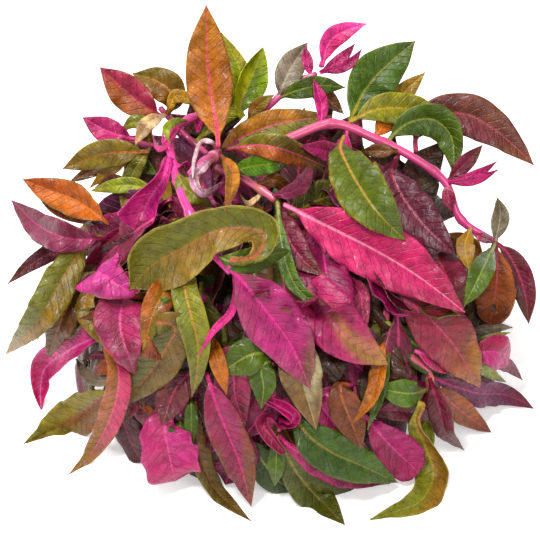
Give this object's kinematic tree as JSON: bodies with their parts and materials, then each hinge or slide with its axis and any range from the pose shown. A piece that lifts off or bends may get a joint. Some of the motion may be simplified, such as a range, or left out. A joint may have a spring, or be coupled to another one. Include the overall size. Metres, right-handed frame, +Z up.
{
  "type": "alternanthera reineckii stems",
  "caption": "Heap of cut leafy plant stems lying on a surface, with lance-shaped pink, magenta, orange and olive leaves that shingle over arching pink stems.",
  "frame": {"origin": "centre of the heap's bounding box, on the surface it lies on", "axes": "+Z up from the surface, -Y toward the picture's camera, +X to the picture's right"},
  "size_m": [0.2147, 0.1918, 0.1366],
  "materials": {
    "leaf_brown": "smooth living leaf, semi-gloss",
    "leaf_orange": "smooth living leaf, semi-gloss",
    "leaf_olive_rust": "smooth living leaf, semi-gloss",
    "leaf_olive": "smooth living leaf, semi-gloss",
    "leaf_magenta": "smooth living leaf, semi-gloss",
    "leaf_lime": "smooth living leaf, semi-gloss",
    "leaf_green": "smooth living leaf, semi-gloss",
    "leaf_grey": "smooth living leaf, semi-gloss",
    "leaf_hot_pink": "smooth living leaf, semi-gloss",
    "leaf_mauve": "smooth living leaf, semi-gloss",
    "leaf_rose": "smooth living leaf, semi-gloss",
    "leaf_wine": "smooth living leaf, semi-gloss",
    "leaf_rust": "smooth living leaf, semi-gloss",
    "stem_skin": "smooth fleshy stem, satin"
  },
  "bodies": {
    "root": {"leaf_brown_floor": "leaf_brown", "leaf_crown_orange": "leaf_orange", "leaf_crown_right": "leaf_olive_rust", "leaf_dark_olive_bottom": "leaf_olive", "leaf_deep_rose": "leaf_magenta", "leaf_folded_floor": "leaf_lime", "leaf_green_crinkled": "leaf_green", "leaf_green_front": "leaf_green", "leaf_green_glossy": "leaf_green", "leaf_green_long": "leaf_olive", "leaf_green_top_right": "leaf_green", "leaf_grey_front": "leaf_grey", "leaf_hot_pink_left": "leaf_hot_pink", "leaf_magenta_broad": "leaf_magenta", "leaf_magenta_brown": "leaf_magenta", "leaf_magenta_far_left": "leaf_magenta", "leaf_magenta_front": "leaf_hot_pink", "leaf_magenta_long": "leaf_magenta", "leaf_mauve_brown": "leaf_mauve", "leaf_mauve_left": "leaf_rose", "leaf_olive_curled": "leaf_olive", "leaf_olive_far_left": "leaf_olive", "leaf_olive_floor": "leaf_olive_rust", "leaf_olive_long": "leaf_olive", "leaf_olive_wide": "leaf_olive", "leaf_olive_yellow": "leaf_lime", "leaf_orange_flank": "leaf_orange", "leaf_orange_left": "leaf_orange", "leaf_pink_cone": "leaf_hot_pink", "leaf_pink_olive": "leaf_hot_pink", "leaf_pink_red": "leaf_hot_pink", "leaf_pink_tip": "leaf_hot_pink", "leaf_pink_triangle": "leaf_hot_pink", "leaf_purple_brown_right": "leaf_wine", "leaf_red_square": "leaf_hot_pink", "leaf_rose_brown": "leaf_rose", "leaf_rust_middle": "leaf_rust", "leaf_rust_upper_left": "leaf_rust", "leaf_torn_magenta": "leaf_rose", "leaf_wine_grey": "leaf_wine", "leaf_yellow_folded": "leaf_lime", "stem_back_1": "stem_skin", "stem_back_2": "stem_skin", "stem_back_3": "stem_skin", "stem_back_4": "stem_skin", "stem_back_5": "stem_skin", "stem_centre": "stem_skin", "stem_centre_upper": "stem_skin", "stem_crown": "stem_skin", "stem_far_right": "stem_skin", "stem_front": "stem_skin", "stem_front_left": "stem_skin", "stem_left": "stem_skin", "stem_left_upper": "stem_skin", "stem_lower_left": "stem_skin", "stem_lower_right": "stem_skin", "stem_middle": "stem_skin", "stem_right": "stem_skin", "stem_top": "stem_skin", "stem_upper_left": "stem_skin"}
  },
  "joints": []
}
